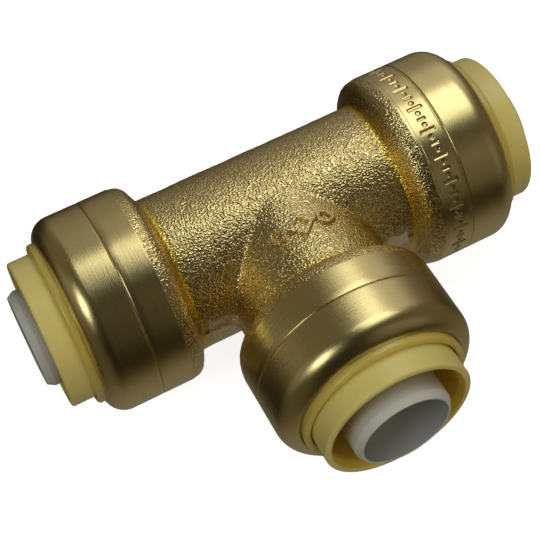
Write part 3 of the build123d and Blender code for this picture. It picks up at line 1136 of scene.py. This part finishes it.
def make_floor(settings):
    """A wide pale floor under the part. Polished metal doesn't mirror it, so that it keeps its depth."""
    side = 3.0
    corners = [(-side, -side, 0.0), (side, -side, 0.0), (side, side, 0.0), (-side, side, 0.0)]
    mesh = bpy.data.meshes.new("floor")
    mesh.from_pydata(corners, [], [(0, 1, 2, 3)])
    finish = Finish("floor paint", Roughness=0.9)
    finish.shader.inputs["Emission Strength"].default_value = 0.84
    finish.shader.inputs["Emission Color"].default_value = (1.0, 1.0, 1.0, 1.0)
    speckle = finish.noise(finish.place(), 40.0, 2.0)
    rgb = tuple(settings.floor)
    mesh.materials.append(finish.wire(Base_Color=finish.mix(speckle, rgb, tuple(0.99 * c for c in rgb))))
    floor = add_object("floor", mesh)
    floor.visible_glossy = floor.visible_diffuse = False


def direction(azimuth, elevation):
    """Unit vector towards an azimuth, from -Y towards +X, and an elevation, in degrees."""
    azimuth, elevation = math.radians(azimuth), math.radians(elevation)
    flat = math.cos(elevation)
    return Vector((math.sin(azimuth) * flat, -math.cos(azimuth) * flat, math.sin(elevation)))


SOFTBOXES = {
    "key_softbox": {"azimuth": 112.0, "elevation": 69.0, "size": (0.38, 0.38), "radiance": 1.65},
    "side_softbox": {"azimuth": -68.0, "elevation": 41.0, "size": (0.23, 0.23), "radiance": 3.2},
    "front_fill": {"azimuth": 5.0, "elevation": 35.0, "size": (0.7, 0.5), "radiance": 0.84},
}
COOL = (0.93, 1.0, 1.0)
WARM = (1.0, 0.84, 0.5)
CREAM = (1.0, 0.94, 0.8)
SOFTBOX_DISTANCE = 0.6


def make_lights():
    """Square area lights that face the crossing: power is radiance * pi * area. Metal doesn't mirror the
    front fill, which only lifts the plastics."""
    for name, box in SOFTBOXES.items():
        light = bpy.data.lights.new(name, "AREA")
        light.shape = "RECTANGLE"
        light.size, light.size_y = box["size"]
        light.color = CREAM if name == "front_fill" else COOL
        light.energy = box["radiance"] * math.pi * light.size * light.size_y
        away = direction(box["azimuth"], box["elevation"])
        lamp = add_object(name, light)
        lamp.visible_glossy = name != "front_fill"
        lamp.rotation_mode = "QUATERNION"
        lamp.rotation_quaternion = away.to_track_quat("Z", "Y")
        lamp.location = Vector(CROSSING) + away * SOFTBOX_DISTANCE


GLOWS = (
    ((136.0, 40.0), 36.0, 0.42),
    ((153.0, 8.0), 46.0, 0.2),
    ((-145.0, 30.0), 52.0, 0.1),
    ((-98.0, 14.0), 30.0, 0.14),
    ((60.0, -80.0), 64.0, 0.18),
    ((34.0, 14.0), 32.0, 0.13),
    ((30.0, 40.0), 22.0, 0.09),
    ((80.0, 6.0), 54.0, 0.09),
    ((-60.0, -20.0), 45.0, 0.06),
)
DIMMEST = 0.014


def make_surroundings(scene):
    """Dim grey surroundings with soft glows; the camera itself sees them as plain pale backdrop."""
    world = bpy.data.worlds.new("surroundings")
    world.use_nodes = True
    scene.world = world
    tree = Tree(world.node_tree)
    way = tree.node("ShaderNodeTexCoord", None, None, "Generated")
    light = 0.0
    for (azimuth, elevation), spread, radiance in GLOWS:
        sockets = {0: way, 1: direction(azimuth, elevation)}
        facing = tree.node("ShaderNodeVectorMath", {"operation": "DOT_PRODUCT"}, sockets, "Value")
        light = light + tree.between(facing, math.cos(math.radians(spread)), 1.0) * radiance
    seen = tree.node("ShaderNodeLightPath", None, None, "Is Camera Ray")
    strength = (light + DIMMEST) * (1 - seen) + seen
    tint = tree.mix(tree.between(strength, 0.0, 0.3), WARM, (1.0, 1.0, 1.0))
    background = tree.node("ShaderNodeBackground", None, {"Color": tint, "Strength": strength})
    tree.node("ShaderNodeOutputWorld", None, {"Surface": background})


AIM = Vector((-3.543, -4.958, -4.063)) * MM


def make_camera(scene, settings):
    """A camera that looks down its own line at a point by the crossing, turned about that line."""
    lens = bpy.data.cameras.new("camera")
    lens.lens = settings.lens
    lens.sensor_width = 36.0
    lens.clip_start, lens.clip_end = 0.01, 20.0
    camera = add_object("camera", lens)
    back = direction(settings.azimuth, settings.elevation)
    level = Vector((-back.y, back.x, 0.0)).normalized()
    roll = Matrix.Rotation(math.radians(-settings.roll), 3, back)
    right = roll @ level
    turned = Matrix((right, back.cross(right), back)).transposed()
    place = Vector(CROSSING) + AIM + back * settings.distance
    camera.matrix_world = Matrix.Translation(place) @ turned.to_4x4()
    scene.camera = camera
    scene.view_settings.view_transform = "Standard"


# ---- Sidebar panel, registration and the run ----


PIECE_OPERATORS = (
    TEE_OT_forged_body,
    TEE_OT_marks,
    TEE_OT_end_caps,
    TEE_OT_retainer_rings,
    TEE_OT_release_collars,
    TEE_OT_tube_liners,
    TEE_OT_grab_rings,
    TEE_OT_inner_parts,
    TEE_OT_stage,
)


class TEE_PT_sidebar(bpy.types.Panel):
    """Lists the tee's pieces and their sizes"""

    bl_idname = "TEE_PT_sidebar"
    bl_label = "Push to connect tee"
    bl_space_type = "VIEW_3D"
    bl_region_type = "UI"
    bl_category = "Tee"

    def draw(self, context):
        for operator in PIECE_OPERATORS:
            self.layout.operator(operator.bl_idname)
        for name, group in SETTINGS.items():
            box = self.layout.box()
            box.label(text=group.__doc__)
            for field in group.__annotations__:
                text = field.replace("_", " ").capitalize()
                box.prop(getattr(context.scene, name), field, text=text)


CLASSES = (*SETTINGS.values(), *PIECE_OPERATORS, TEE_PT_sidebar)


def register():
    for cls in CLASSES:
        bpy.utils.register_class(cls)
    for name, group in SETTINGS.items():
        setattr(bpy.types.Scene, name, PointerProperty(type=group))


def unregister():
    for name in SETTINGS:
        delattr(bpy.types.Scene, name)
    for cls in reversed(CLASSES):
        bpy.utils.unregister_class(cls)


def main():
    """Builds everything."""
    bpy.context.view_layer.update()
    register()
    bpy.ops.tee.forged_body()
    bpy.ops.tee.marks()
    bpy.ops.tee.end_caps()
    bpy.ops.tee.retainer_rings()
    bpy.ops.tee.release_collars()
    bpy.ops.tee.tube_liners()
    bpy.ops.tee.grab_rings()
    bpy.ops.tee.inner_parts()
    bpy.ops.tee.stage()


if __name__ == "__main__":
    main()
